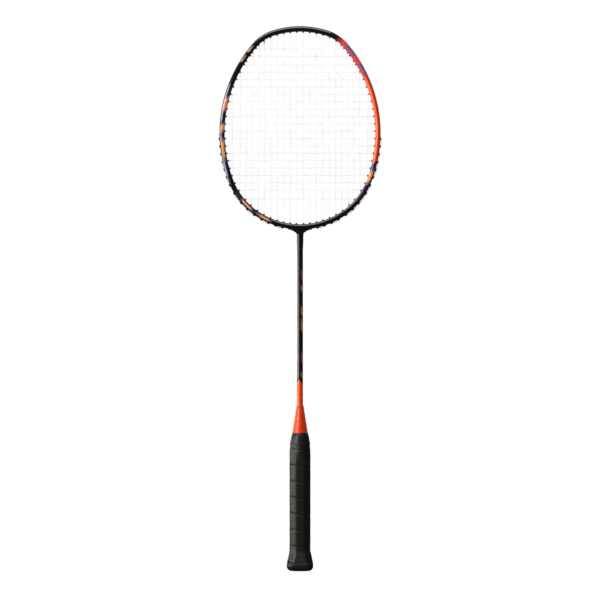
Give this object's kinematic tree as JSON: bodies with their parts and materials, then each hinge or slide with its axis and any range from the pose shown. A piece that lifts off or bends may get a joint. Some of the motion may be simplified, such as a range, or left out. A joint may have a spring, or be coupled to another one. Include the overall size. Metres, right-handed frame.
{
  "type": "badminton racket",
  "caption": "Badminton racket with an oval strung head on a slim round shaft, a flared cone and a long octagonal handle wound with a soft black grip.",
  "frame": {"origin": "middle of the butt's flat end face", "axes": "+Z along the racket from the butt to the top of the head, +X across the head, and the face of the string bed that is shown looks along -Y"},
  "size_m": [0.2025, 0.031, 0.675],
  "materials": {
    "frame_lacquer": "gloss lacquer over carbon fibre, near-black navy with copper and orange bands",
    "joint_metal": "plain, hidden in the throat",
    "shaft_lacquer": "gloss black lacquer over carbon fibre, orange toward the cone",
    "cone_lacquer": "gloss orange lacquer",
    "handle_wood": "plain light wood, hidden under the grip",
    "cap_plastic": "fine-textured black",
    "staple_steel": "plain wire, hidden under the grip",
    "grip_leather": "soft matt black synthetic leather",
    "tape_vinyl": "satin black vinyl",
    "grommet_plastic": "satin black nylon",
    "string_nylon": "white coated multifilament"
  },
  "bodies": {
    "root": {"head_frame": "frame_lacquer", "t_joint": "joint_metal", "shaft": "shaft_lacquer", "cone_cap": "cone_lacquer", "handle_core": "handle_wood", "butt_cap": "cap_plastic", "butt_staples": "staple_steel", "grip_wrap": "grip_leather", "finishing_tape": "tape_vinyl", "top_grommets": "grommet_plastic", "left_corner_grommets": "grommet_plastic", "right_corner_grommets": "grommet_plastic", "left_grommets": "grommet_plastic", "right_grommets": "grommet_plastic", "shared_grommets": "grommet_plastic", "bottom_grommets": "grommet_plastic", "main_string": "string_nylon", "main_string_knots": "string_nylon", "cross_string": "string_nylon", "cross_string_knots": "string_nylon"}
  },
  "joints": []
}
